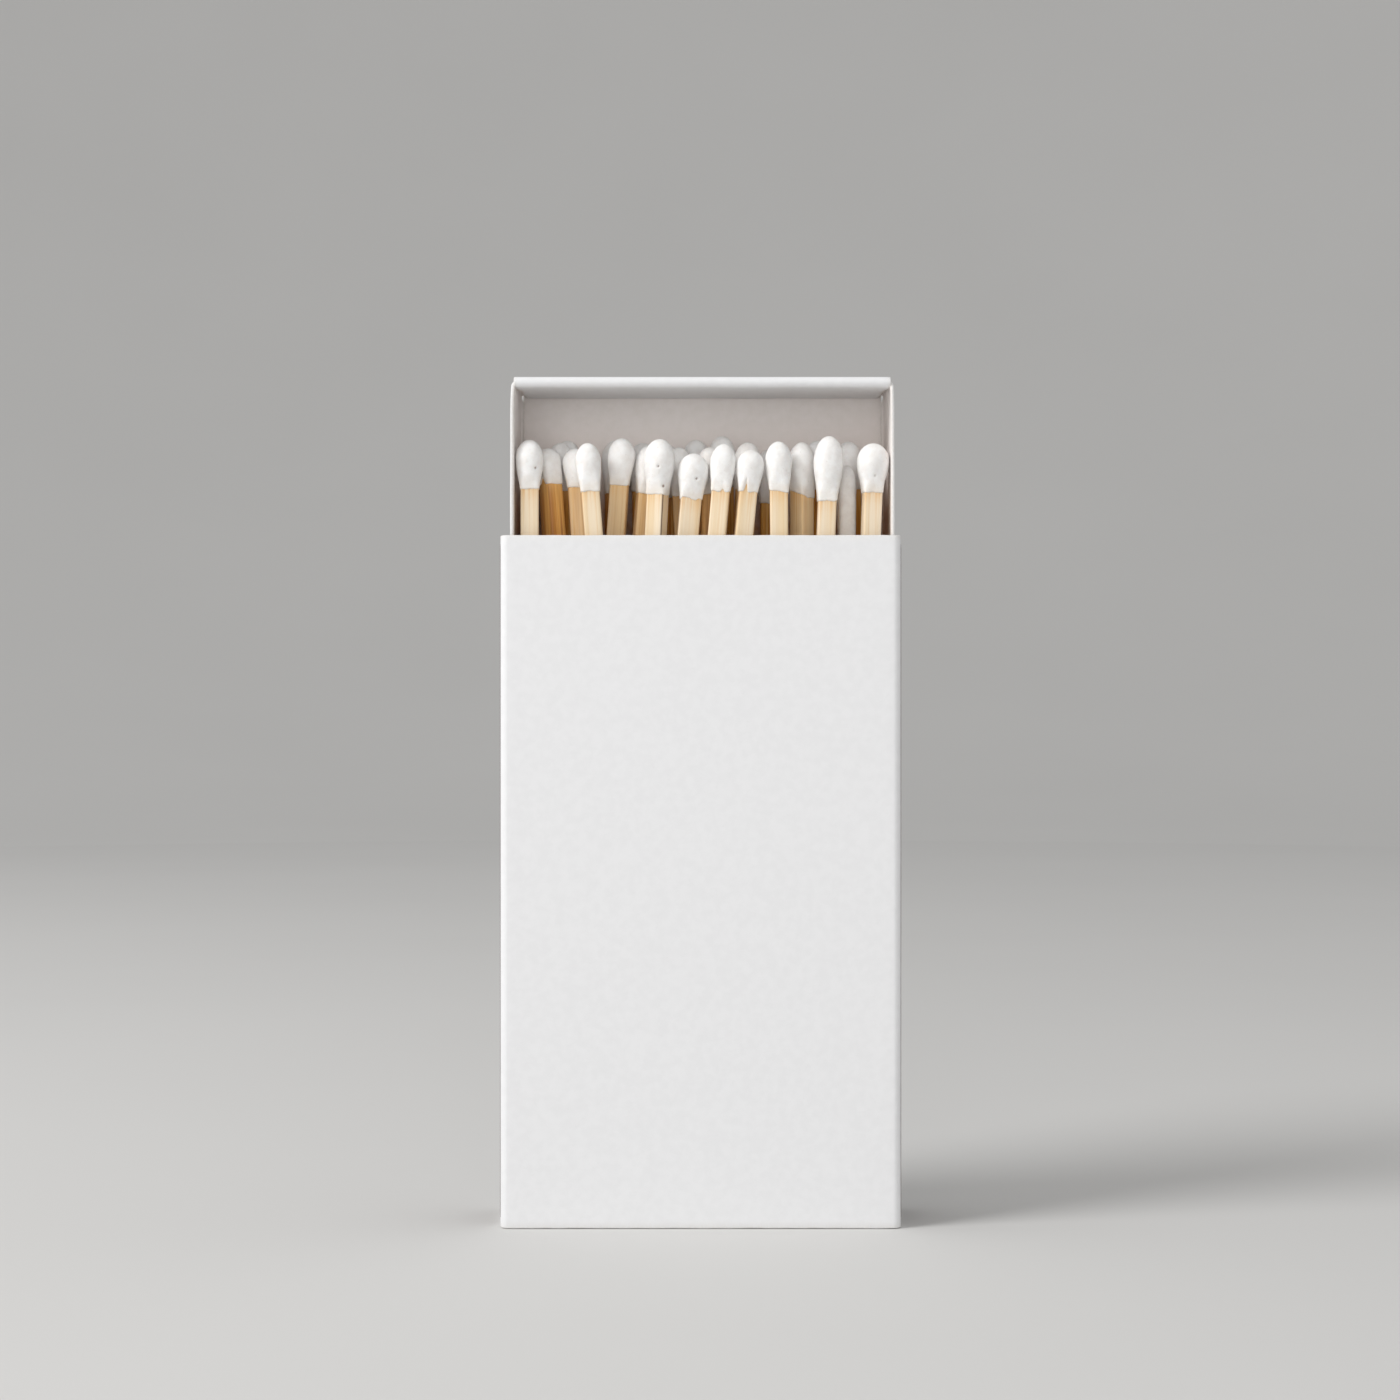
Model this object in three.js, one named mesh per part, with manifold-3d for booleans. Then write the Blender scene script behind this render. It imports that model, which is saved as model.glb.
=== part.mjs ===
// Matchbox: a folded card sleeve standing on its end, with the tray slid part way out of the top and
// white-headed wooden matches standing in the tray.
// Millimetres, +Z up. X runs across the wide face and -Y is the front. The origin is on the surface that
// the box stands on, under the middle of the sleeve.

import * as THREE from 'three';
import { mergeVertices } from 'three/addons/utils/BufferGeometryUtils.js';
import Module from 'manifold-3d';

const wasm = await Module();
wasm.setup();

// Card
const card = 0.45;
const pressed = 0.02;

// How far a cutting shape reaches past what it cuts
const beyond = 1;

// Sleeve
const sleeveWidth = 50;
const sleeveDepth = 15;
const sleeveFold = 1.0;
const seamSetback = 1.3;
const flapSetback = 2.2;
const cutEdgeRounding = 0.1;

// Striking strips on the narrow sides
const strikerThickness = 0.12;
const strikerSideMargin = 1.0;
const strikerEndMargin = 1.0;

// Tray
const sideClearance = 0.275;
const faceClearance = 0.25;
const endRecess = 0.25;
const drawnOut = 20.05;
const trayFold = 0.8;
const cornerFold = 0.7;
const tabLength = 11;
const rolledEndRounding = 0.35;
const lipSlit = 0.12;

// Matches
const standingHeight = 78;
const headRoom = 5.3;
const splintSide = 2.3;
const splintChamfer = 0.2;
const footGap = 0.06;
const headBond = 0.04;
const headCoat = 0.15;
const leastCoat = 0.1;
const roundest = 2.2;
const squarest = 8;
const headWidth = 3.4;
const headLength = 6.2;
const bulbShare = 0.38;
const domeReach = 0.85;
const restGap = 0.06;

// Fineness of the round stretches
const foldSteps = 5;
const headSides = 16;
const domeSteps = 4;
const skirtSteps = 3;

// Worked out from the sizes above
const endWall = 3 * card;
const trayLength = standingHeight + headRoom + 2 * endWall;
const sleeveLength = trayLength + 2 * endRecess;
const flapSide = -1;
const cavityWidth = sleeveWidth - 3 * card;
const cavityDepth = sleeveDepth - 2 * card;
const trayWidth = cavityWidth - 2 * sideClearance;
const trayDepth = cavityDepth - 2 * faceClearance;
const trayX = -flapSide * card / 2;
const trayZ = endRecess + drawnOut;
const innerWidth = trayWidth - 2 * card;
const trayFront = -trayDepth / 2;
const trayFloor = trayDepth / 2 - card;
const splintReach = Math.hypot(splintSide / 2, splintSide / 2 - splintChamfer);

// Where each match stands. headAt and footAt are shares of the tray's inside, across from its left wall and
// back from its open face. below, how far the top of the head stays under the tallest one, and long, the
// head's length, are shares of the usual head's length. wide is a share of the usual head's width, girth one
// of the usual splint's side, and twist is the splint's turn about its own length, in degrees.
const matches = [
  { headAt: [0.039, 0.16], footAt: [0.04, 0.16], below: 0.177, wide: 1.044, long: 1, twist: 4 },
  { headAt: [0.091, 0.38], footAt: [0.214, 0.34], below: 0.306, wide: 0.956, long: 0.742, twist: 45 },
  { headAt: [0.116, 0.61], footAt: [0.103, 0.6], below: 0.145, wide: 0.971, long: 1, twist: 20 },
  { headAt: [0.133, 0.85], footAt: [0.099, 0.87], below: 0.048, wide: 0.971, long: 1.016, twist: -12 },
  { headAt: [0.152, 0.38], footAt: [0.246, 0.2], below: 0.306, wide: 0.971, long: 0.806, twist: 6 },
  { headAt: [0.192, 0.15], footAt: [0.309, 0.13], below: 0.242, wide: 0.941, long: 0.992, twist: 3 },
  { headAt: [0.26, 0.85], footAt: [0.222, 0.87], below: 0.048, wide: 1, long: 1.113, twist: 8 },
  { headAt: [0.299, 0.38], footAt: [0.218, 0.85], below: 0.097, wide: 1.015, long: 0.952, twist: -5 },
  { headAt: [0.351, 0.4], footAt: [0.19, 0.62], below: 0.242, wide: 1, long: 0.984, twist: 12 },
  { headAt: [0.338, 0.85], footAt: [0.347, 0.86], below: 0.097, wide: 1, long: 1, twist: 30 },
  { headAt: [0.387, 0.15], footAt: [0.317, 0.42], below: 0.161, wide: 1.147, long: 1.129, twist: -18 },
  { headAt: [0.436, 0.58], footAt: [0.52, 0.86], below: 0.242, wide: 0.971, long: 1, twist: 0 },
  { headAt: [0.414, 0.85], footAt: [0.431, 0.86], below: 0.161, wide: 0.971, long: 1.081, twist: -8 },
  { headAt: [0.477, 0.84], footAt: [0.59, 0.86], below: 0.032, wide: 1, long: 1, twist: 16 },
  { headAt: [0.48, 0.15], footAt: [0.326, 0.65], below: 0.452, wide: 1.147, long: 0.952, twist: 5, girth: 1.15 },
  { headAt: [0.52, 0.4], footAt: [0.506, 0.62], below: 0.274, wide: 0.971, long: 0.968, twist: 10 },
  { headAt: [0.553, 0.62], footAt: [0.58, 0.61], below: 0, wide: 1, long: 1.048, twist: -20 },
  { headAt: [0.562, 0.15], footAt: [0.445, 0.15], below: 0.258, wide: 0.956, long: 0.984, twist: -3 },
  { headAt: [0.62, 0.4], footAt: [0.514, 0.39], below: 0.177, wide: 0.971, long: 0.968, twist: 14 },
  { headAt: [0.631, 0.15], footAt: [0.476, 0.38], below: 0.387, wide: 1.029, long: 0.863, twist: 6 },
  { headAt: [0.682, 0.85], footAt: [0.682, 0.85], below: 0.218, wide: 0.971, long: 1.145, twist: 2 },
  { headAt: [0.702, 0.15], footAt: [0.722, 0.15], below: 0.21, wide: 1, long: 1.065, twist: 0 },
  { headAt: [0.767, 0.38], footAt: [0.767, 0.38], below: 0.177, wide: 0.971, long: 1.145, twist: 45 },
  { headAt: [0.81, 0.62], footAt: [0.9, 0.86], below: 0.097, wide: 0.971, long: 1.016, twist: -15 },
  { headAt: [0.838, 0.16], footAt: [0.772, 0.15], below: 0.097, wide: 1.103, long: 1.339, twist: 2 },
  { headAt: [0.894, 0.62], footAt: [0.952, 0.64], below: 0.113, wide: 1, long: 1, twist: 25 },
  { headAt: [0.888, 0.4], footAt: [0.887, 0.4], below: 0.645, wide: 0.706, long: 2.097, twist: 3, girth: 0.82 },
  { headAt: [0.956, 0.17], footAt: [0.905, 0.15], below: 0.242, wide: 1.206, long: 1.016, twist: 8 },
];

// Settling: heights at which neighbours are compared, and how long and how hard they are pushed apart
const settleLevels = 20;
const settleRounds = 900;
const holdingRounds = 500;
const footHold = 0.02;
const headHold = 0.12;

// Materials
const whiteCard = new THREE.MeshStandardMaterial({ color: 0xebeae8, roughness: 0.82, metalness: 0 });
const strikerCoat = new THREE.MeshStandardMaterial({ color: 0x4b2b23, roughness: 0.95, metalness: 0 });
const aspen = new THREE.MeshStandardMaterial({ color: 0xe8cd9f, roughness: 0.75, metalness: 0 });
const headPaste = new THREE.MeshStandardMaterial({ color: 0xf1eeea, roughness: 0.7, metalness: 0 });

// A closed solid from any geometry, its shared corners merged so that it can be joined and cut
function solid(geometry) {
  const bare = geometry.clone();
  bare.deleteAttribute('normal');
  bare.deleteAttribute('uv');
  const merged = mergeVertices(bare, 1e-5);
  const vertProperties = new Float32Array(merged.attributes.position.array);
  const triVerts = new Uint32Array(merged.index.array);
  return new wasm.Manifold(new wasm.Mesh({ numProp: 3, vertProperties, triVerts }));
}

function geometryOf(body) {
  const mesh = body.getMesh();
  const geometry = new THREE.BufferGeometry();
  geometry.setAttribute('position', new THREE.BufferAttribute(new Float32Array(mesh.vertProperties), 3));
  geometry.setIndex(new THREE.BufferAttribute(new Uint32Array(mesh.triVerts), 1));
  geometry.computeVertexNormals();
  return geometry;
}

// A flat outline pushed along one axis. The outline's own axes become X and Y, X and Z, or Y and Z.
function pushed(shape, along, from, to) {
  const geometry = new THREE.ExtrudeGeometry(shape, {
    depth: to - from,
    bevelEnabled: false,
    curveSegments: foldSteps,
  });
  geometry.translate(0, 0, from);
  const turn = new THREE.Matrix4();
  if (along === 'y') {
    turn.set(1, 0, 0, 0, 0, 0, 1, 0, 0, 1, 0, 0, 0, 0, 0, 1);
  }
  if (along === 'x') {
    turn.set(0, 0, 1, 0, 1, 0, 0, 0, 0, 1, 0, 0, 0, 0, 0, 1);
  }
  geometry.applyMatrix4(turn);
  if (along === 'y') {
    turnFacesOver(geometry);
  }
  return geometry;
}

// Swapping two axes turns a solid inside out, so each triangle's winding is swapped back
function turnFacesOver(geometry) {
  const position = geometry.attributes.position;
  for (let i = 0; i < position.count; i += 3) {
    const first = new THREE.Vector3().fromBufferAttribute(position, i + 1);
    const second = new THREE.Vector3().fromBufferAttribute(position, i + 2);
    position.setXYZ(i + 1, second.x, second.y, second.z);
    position.setXYZ(i + 2, first.x, first.y, first.z);
  }
}

function box(x0, x1, y0, y1, z0, z1) {
  const geometry = new THREE.BoxGeometry(x1 - x0, y1 - y0, z1 - z0);
  geometry.translate((x0 + x1) / 2, (y0 + y1) / 2, (z0 + z1) / 2);
  return solid(geometry);
}

function rectangleWithCorners(x0, x1, y0, y1, radii) {
  const [lowLeft, lowRight, highRight, highLeft] = radii;
  const shape = new THREE.Shape();
  shape.moveTo(x0 + lowLeft, y0);
  shape.lineTo(x1 - lowRight, y0);
  if (lowRight > 0) {
    shape.absarc(x1 - lowRight, y0 + lowRight, lowRight, -Math.PI / 2, 0, false);
  }
  shape.lineTo(x1, y1 - highRight);
  if (highRight > 0) {
    shape.absarc(x1 - highRight, y1 - highRight, highRight, 0, Math.PI / 2, false);
  }
  shape.lineTo(x0 + highLeft, y1);
  if (highLeft > 0) {
    shape.absarc(x0 + highLeft, y1 - highLeft, highLeft, Math.PI / 2, Math.PI, false);
  }
  shape.lineTo(x0, y0 + lowLeft);
  if (lowLeft > 0) {
    shape.absarc(x0 + lowLeft, y0 + lowLeft, lowLeft, Math.PI, Math.PI * 1.5, false);
  }
  return shape;
}

// Sleeve: one strip of card seen end on. It starts as the glue flap inside the left narrow side, runs round
// the back, the right side and the front, and ends as the left side's outer layer, whose cut edge is the
// seam beside the back left fold.
function sleeveSection() {
  const halfW = sleeveWidth / 2;
  const halfD = sleeveDepth / 2;
  const outer = sleeveFold;
  const inner = sleeveFold - card;
  const foldX = halfW - outer;
  const foldY = halfD - outer;
  const flapFoldX = -halfW + card + outer;
  const seamY = halfD - seamSetback;
  const flapEndY = -halfD + flapSetback;

  const section = new THREE.Shape();
  section.moveTo(-halfW, seamY);
  section.lineTo(-halfW, -foldY);
  section.absarc(-foldX, -foldY, outer, Math.PI, Math.PI * 1.5, false);
  section.lineTo(foldX, -halfD);
  section.absarc(foldX, -foldY, outer, -Math.PI / 2, 0, false);
  section.lineTo(halfW, foldY);
  section.absarc(foldX, foldY, outer, 0, Math.PI / 2, false);
  section.lineTo(flapFoldX, halfD);
  section.absarc(flapFoldX, foldY, outer, Math.PI / 2, Math.PI, false);
  section.lineTo(-halfW + card, seamY);
  section.closePath();

  const hollow = new THREE.Path();
  hollow.moveTo(-halfW + card, -foldY);
  hollow.lineTo(-halfW + card, flapEndY);
  hollow.lineTo(-halfW + 2 * card, flapEndY);
  hollow.lineTo(-halfW + 2 * card, foldY);
  hollow.absarc(flapFoldX, foldY, inner, Math.PI, Math.PI / 2, true);
  hollow.lineTo(foldX, halfD - card);
  hollow.absarc(foldX, foldY, inner, Math.PI / 2, 0, true);
  hollow.lineTo(halfW - card, -foldY);
  hollow.absarc(foldX, -foldY, inner, 0, -Math.PI / 2, true);
  hollow.lineTo(-foldX, -halfD + card);
  hollow.absarc(-foldX, -foldY, inner, Math.PI * 1.5, Math.PI, true);
  section.holes.push(hollow);
  return section;
}

function sleeveGeometry() {
  const geometry = new THREE.ExtrudeGeometry(sleeveSection(), {
    depth: sleeveLength - 2 * cutEdgeRounding,
    curveSegments: foldSteps,
    bevelEnabled: true,
    bevelThickness: cutEdgeRounding,
    bevelSize: cutEdgeRounding,
    bevelOffset: -cutEdgeRounding,
    bevelSegments: 2,
  });
  geometry.translate(0, 0, cutEdgeRounding);
  return geometryOf(solid(geometry));
}

// Striking strip: a thin coat on the flat of a narrow side, short of the folds and of the cut ends
function strikerGeometry() {
  const width = sleeveDepth - 2 * (sleeveFold + strikerSideMargin);
  return new THREE.BoxGeometry(strikerThickness, width, sleeveLength - 2 * strikerEndMargin);
}

// Tray, in its own frame: X across, Y back from the open face, Z up from its lower end
function trayGeometry() {
  const halfW = trayWidth / 2;
  const back = trayDepth / 2;
  const innerFold = trayFold - card;

  // Floor and long walls: one channel of card, from end panel to end panel
  const channel = new THREE.Shape();
  channel.moveTo(-halfW, trayFront);
  channel.lineTo(-halfW + card, trayFront);
  channel.lineTo(-halfW + card, back - trayFold);
  channel.absarc(-halfW + trayFold, back - trayFold, innerFold, Math.PI, Math.PI / 2, true);
  channel.lineTo(halfW - trayFold, back - card);
  channel.absarc(halfW - trayFold, back - trayFold, innerFold, Math.PI / 2, 0, true);
  channel.lineTo(halfW - card, trayFront);
  channel.lineTo(halfW, trayFront);
  channel.lineTo(halfW, back - trayFold);
  channel.absarc(halfW - trayFold, back - trayFold, trayFold, 0, Math.PI / 2, false);
  channel.lineTo(-halfW + trayFold, back);
  channel.absarc(-halfW + trayFold, back - trayFold, trayFold, Math.PI / 2, Math.PI, false);
  const low = card - pressed;
  const high = trayLength - card + pressed;
  let tray = solid(pushed(channel, 'z', low, high));

  // The long walls' corners turn in to become the tabs, so their outside is rounded there
  const corners = rectangleWithCorners(-halfW, halfW, low, high, Array(4).fill(cornerFold));
  tray = tray.intersect(solid(pushed(corners, 'y', trayFront - beyond, back + beyond)));

  for (const end of [-1, 1]) {
    tray = tray.add(endWallSolid(end));
    for (const side of [-1, 1]) {
      tray = tray.add(tabSolid(end, side));
    }
  }

  // All the folds along the back are rounded outside
  const endOn = rectangleWithCorners(-halfW, halfW, trayFront, back, [0, 0, trayFold, trayFold]);
  const sideOn = rectangleWithCorners(trayFront, back, 0, trayLength, [0, trayFold, trayFold, 0]);
  tray = tray.intersect(solid(pushed(endOn, 'z', -beyond, trayLength + beyond)));
  tray = tray.intersect(solid(pushed(sideOn, 'x', -halfW - beyond, halfW + beyond)));
  return geometryOf(tray);
}

// Height in the tray of a level counted inward from one end
function fromEnd(end, inward) {
  return end > 0 ? trayLength - inward : inward;
}

// A corner tab: the long wall carried round the corner fold and in behind the rolled edge
function tabSolid(end, side) {
  const halfW = trayWidth / 2;
  const centreX = side * (halfW - cornerFold);
  const centreZ = fromEnd(end, card + cornerFold);
  const outer = cornerFold + pressed;
  const inner = cornerFold - card;
  const tip = side * (halfW - tabLength);
  const outerZ = fromEnd(end, card - pressed);
  const innerZ = fromEnd(end, 2 * card + pressed);
  const wall = side * (halfW - card / 2);
  const strip = new THREE.Shape();
  const outward = side > 0 ? 0 : Math.PI;
  const endward = end > 0 ? Math.PI / 2 : -Math.PI / 2;
  const clockwise = side * end < 0;
  strip.moveTo(tip, outerZ);
  strip.lineTo(centreX, outerZ);
  strip.absarc(centreX, centreZ, outer, endward, outward, !clockwise);
  strip.lineTo(wall, centreZ);
  strip.lineTo(centreX + side * inner, centreZ);
  strip.absarc(centreX, centreZ, inner, outward, endward, clockwise);
  strip.lineTo(centreX, innerZ);
  strip.lineTo(tip, innerZ);
  strip.closePath();
  return solid(pushed(strip, 'y', trayFront + card, trayDepth / 2 - card / 2));
}

// An end wall: the end panel comes up off the floor, rolls over the front edge of the tabs and runs back
// down inside, where its free edge stands just off the floor
function endWallSolid(end) {
  const half = innerWidth / 2;
  const back = trayDepth / 2;
  const rollY = trayFront + endWall / 2;
  const rollZ = fromEnd(end, endWall / 2);
  const foldY = back - trayFold;
  const foldZ = fromEnd(end, trayFold);
  const panel = new THREE.Shape();
  panel.moveTo(back, foldZ - end * trayFold);
  panel.lineTo(back, fromEnd(end, 0));
  panel.lineTo(rollY, fromEnd(end, 0));
  panel.absarc(rollY, rollZ, endWall / 2, end * Math.PI / 2, end * Math.PI * 1.5, end < 0);
  panel.lineTo(trayFloor - lipSlit, fromEnd(end, endWall));
  panel.lineTo(trayFloor - lipSlit, fromEnd(end, 2 * card));
  panel.lineTo(rollY, fromEnd(end, 2 * card));
  panel.absarc(rollY, rollZ, card / 2, end * Math.PI * 1.5, end * Math.PI / 2, end > 0);
  panel.lineTo(foldY, fromEnd(end, card));
  panel.absarc(foldY, foldZ, trayFold - card, end * Math.PI / 2, 0, end > 0);
  panel.lineTo(back - card, foldZ - end * trayFold);
  panel.closePath();
  const rolled = solid(pushed(panel, 'x', -half, half));
  const radii = Array(4).fill(rolledEndRounding);
  const low = Math.min(fromEnd(end, 0), fromEnd(end, endWall));
  const high = low + endWall;
  const face = rectangleWithCorners(-half, half, low, high, radii);
  const rounded = solid(pushed(face, 'y', trayFront - beyond, trayFloor - lipSlit));
  const slit = trayFloor - lipSlit - pressed;
  const behind = box(-half, half, slit, back + beyond, -beyond, trayLength + beyond);
  return rolled.intersect(rounded.add(behind));
}

function headWide(match) {
  return match.wide * headWidth;
}

function headLong(match) {
  return match.long * headLength;
}

// The share of a head's length that its dome takes, less in a long slim one
function domeShare(match) {
  return Math.min(bulbShare, domeReach * headWide(match) / headLong(match));
}

function topHeight(match) {
  return standingHeight - match.below * headLength;
}

// Half widths of a head, from its tip (share 0) to its lower edge (share 1): a domed bulb, then a skirt that
// narrows onto the splint
function headHalfWidth(match, share) {
  const bulb = headWide(match) / 2;
  const skirt = skirtHalfWidth(match);
  const dome = domeShare(match);
  if (share <= dome) {
    const up = (dome - share) / dome;
    return bulb * Math.sqrt(Math.max(0, 1 - up * up));
  }
  const down = (share - dome) / (1 - dome);
  return skirt + (bulb - skirt) * (0.5 + 0.5 * Math.cos(Math.PI * down));
}

function girth(match) {
  return match.girth ?? 1;
}

function skirtHalfWidth(match) {
  return girth(match) * splintSide / 2 + headBond + headCoat;
}

// How square a head's section has to be, as a superellipse's power, for the splint's corners to stay covered
function squareness(match, halfWidth) {
  const corner = girth(match) * splintReach + headBond + leastCoat;
  const room = 0.5 - Math.log2(corner / halfWidth);
  return Math.min(squarest, Math.max(roundest, 1 / Math.max(room, 1 / squarest)));
}

function splintOutline(match, grow) {
  const half = girth(match) * splintSide / 2 + grow;
  const flat = half - splintChamfer;
  const outline = new THREE.Shape();
  outline.moveTo(half, -flat);
  outline.lineTo(half, flat);
  outline.lineTo(flat, half);
  outline.lineTo(-flat, half);
  outline.lineTo(-half, flat);
  outline.lineTo(-half, -flat);
  outline.lineTo(-flat, -half);
  outline.lineTo(flat, -half);
  outline.closePath();
  return outline;
}

// A loft through rings of equal count, closed by a fan at the tip and one at the lower end
function loft(rings, tip, end) {
  const sides = rings[0].length;
  const points = rings.flat();
  const tipIndex = points.length;
  points.push(tip);
  const endIndex = points.length;
  points.push(end);
  const index = [];
  for (let s = 0; s < sides; s += 1) {
    const next = (s + 1) % sides;
    const last = (rings.length - 1) * sides;
    index.push(tipIndex, s, next);
    index.push(endIndex, last + next, last + s);
    for (let r = 0; r + 1 < rings.length; r += 1) {
      const here = r * sides;
      const below = here + sides;
      index.push(here + s, below + s, below + next);
      index.push(here + s, below + next, here + next);
    }
  }
  const geometry = new THREE.BufferGeometry();
  const flat = points.flatMap((p) => [p.x, p.y, p.z]);
  geometry.setAttribute('position', new THREE.BufferAttribute(new Float32Array(flat), 3));
  geometry.setIndex(index);
  return geometry;
}

// A match head, its top at height top on the match's own axis, with the socket that holds the splint's tip
function headGeometry(match, top) {
  const dome = domeShare(match);
  const long = headLong(match);
  const shares = [];
  for (let i = 1; i <= domeSteps; i += 1) {
    shares.push(dome * (1 - Math.cos(i / domeSteps * Math.PI / 2)));
  }
  for (let i = 1; i <= skirtSteps; i += 1) {
    shares.push(dome + (1 - dome) * i / skirtSteps);
  }
  const rings = shares.map((share) => {
    const half = headHalfWidth(match, share);
    const power = squareness(match, share < dome ? headWide(match) / 2 : half);
    const ring = [];
    for (let s = 0; s < headSides; s += 1) {
      const angle = s / headSides * Math.PI * 2;
      const c = Math.cos(angle);
      const d = Math.sin(angle);
      const reach = half / (Math.abs(c) ** power + Math.abs(d) ** power) ** (1 / power);
      ring.push(new THREE.Vector3(c * reach, d * reach, top - share * long));
    }
    return ring;
  });
  const lowerEdge = top - long;
  const paste = loft(rings, new THREE.Vector3(0, 0, top), new THREE.Vector3(0, 0, lowerEdge));
  const socketTop = top - dome * long + headBond;
  const socket = pushed(splintOutline(match, headBond), 'z', lowerEdge - beyond, socketTop);
  return geometryOf(solid(paste).subtract(solid(socket)));
}

// How far a match reaches from its own axis at a height below its top
function reachBelowTop(match, down) {
  const splint = girth(match) * splintReach;
  const long = headLong(match);
  if (down < 0 || down > long) {
    return down < 0 ? 0 : splint;
  }
  const half = headHalfWidth(match, down / long);
  const corner = half * 2 ** (0.5 - 1 / squareness(match, Math.max(half, skirtHalfWidth(match))));
  return down < domeShare(match) * long ? corner : Math.max(corner, splint);
}

// Lets the matches settle in the tray. Each is a straight line from foot to top. At each of a row of heights
// two that come too close are pushed apart, and one that meets a wall is pushed off it. For a while each is
// also drawn back to where it is wanted, its head more firmly than its foot.
function settle() {
  const width = innerWidth;
  const depth = trayFloor - trayFront;
  const place = (share) => new THREE.Vector2((share[0] - 0.5) * width, trayFront + share[1] * depth);
  const wanted = matches.map((m) => ({ foot: place(m.footAt), head: place(m.headAt) }));
  const lines = wanted.map((w) => ({ foot: w.foot.clone(), head: w.head.clone() }));
  const levels = [];
  for (let i = 0; i < settleLevels; i += 1) {
    const even = i / (settleLevels - 1);
    levels.push(standingHeight * (1 - (1 - even) ** 2));
  }
  const at = (line, t) => line.foot.clone().lerp(line.head, t);
  const move = (line, t, by) => {
    const share = 1 / ((1 - t) ** 2 + t ** 2);
    line.foot.addScaledVector(by, (1 - t) * share);
    line.head.addScaledVector(by, t * share);
  };
  for (let round = 0; round < settleRounds; round += 1) {
    const holding = Math.max(0, 1 - round / holdingRounds);
    lines.forEach((line, i) => {
      line.foot.lerp(wanted[i].foot, footHold * holding);
      line.head.lerp(wanted[i].head, headHold * holding);
    });
    for (const level of levels) {
      const here = matches.map((m) => {
        const height = topHeight(m);
        const reach = reachBelowTop(m, height - level) + restGap;
        return { t: level / height, reach };
      });
      for (let i = 0; i < lines.length; i += 1) {
        for (let j = i + 1; j < lines.length; j += 1) {
          if (here[i].t > 1 || here[j].t > 1) {
            continue;
          }
          const apart = at(lines[j], here[j].t).sub(at(lines[i], here[i].t));
          const distance = Math.max(apart.length(), 1e-6);
          const short = here[i].reach + here[j].reach - restGap - distance;
          if (short > 0) {
            const push = apart.multiplyScalar(short / distance / 2);
            move(lines[j], here[j].t, push);
            move(lines[i], here[i].t, push.negate());
          }
        }
        if (here[i].t <= 1) {
          const point = at(lines[i], here[i].t);
          const reach = here[i].reach;
          const x = THREE.MathUtils.clamp(point.x, -width / 2 + reach, width / 2 - reach);
          const y = THREE.MathUtils.clamp(point.y, trayFront + reach, trayFloor - reach);
          move(lines[i], here[i].t, new THREE.Vector2(x, y).sub(point));
        }
      }
    }
  }
  return lines;
}

// A match in the tray's frame: its splint and head in a group that stands at the foot and leans to the top
function buildMatch(match, line, number) {
  const floorZ = endWall + footGap;
  const top = endWall + topHeight(match);
  const lean = new THREE.Vector3(line.head.x - line.foot.x, line.head.y - line.foot.y, top - floorZ);
  const tilt = lean.angleTo(new THREE.Vector3(0, 0, 1));
  const footLift = girth(match) * splintReach * Math.sin(tilt);
  const foot = new THREE.Vector3(line.foot.x, line.foot.y, floorZ + footLift);
  const head = new THREE.Vector3(line.head.x, line.head.y, top);
  const axis = head.clone().sub(foot);
  const length = axis.length();
  const group = new THREE.Group();
  group.position.copy(foot);
  const up = new THREE.Vector3(0, 0, 1);
  const leaning = new THREE.Quaternion().setFromUnitVectors(up, axis.normalize());
  const twisting = new THREE.Quaternion().setFromAxisAngle(up, THREE.MathUtils.degToRad(match.twist));
  group.quaternion.copy(leaning.multiply(twisting));

  const label = `match_${String(number).padStart(2, '0')}`;
  const splintEnd = length - domeShare(match) * headLong(match);
  const splint = new THREE.Mesh(pushed(splintOutline(match, 0), 'z', 0, splintEnd), aspen);
  splint.name = `${label}_splint`;
  const paste = new THREE.Mesh(headGeometry(match, length), headPaste);
  paste.name = `${label}_head`;
  group.add(splint, paste);
  return group;
}

function buildSleeve() {
  const group = new THREE.Group();
  const sleeve = new THREE.Mesh(sleeveGeometry(), whiteCard);
  sleeve.name = 'sleeve';
  group.add(sleeve);
  for (const side of [-1, 1]) {
    const striker = new THREE.Mesh(strikerGeometry(), strikerCoat);
    striker.name = side < 0 ? 'striker_left' : 'striker_right';
    const x = side * (sleeveWidth / 2 + pressed + strikerThickness / 2);
    striker.position.set(x, 0, sleeveLength / 2);
    group.add(striker);
  }
  return group;
}

function buildTray() {
  const group = new THREE.Group();
  group.position.set(trayX, 0, trayZ);
  const tray = new THREE.Mesh(trayGeometry(), whiteCard);
  tray.name = 'tray';
  group.add(tray);
  settle().forEach((line, i) => group.add(buildMatch(matches[i], line, i + 1)));
  return group;
}

const matchbox = new THREE.Group();
matchbox.add(buildSleeve(), buildTray());

export default matchbox;
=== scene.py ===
import math

import bpy
import numpy as np
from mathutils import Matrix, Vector, noise

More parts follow.
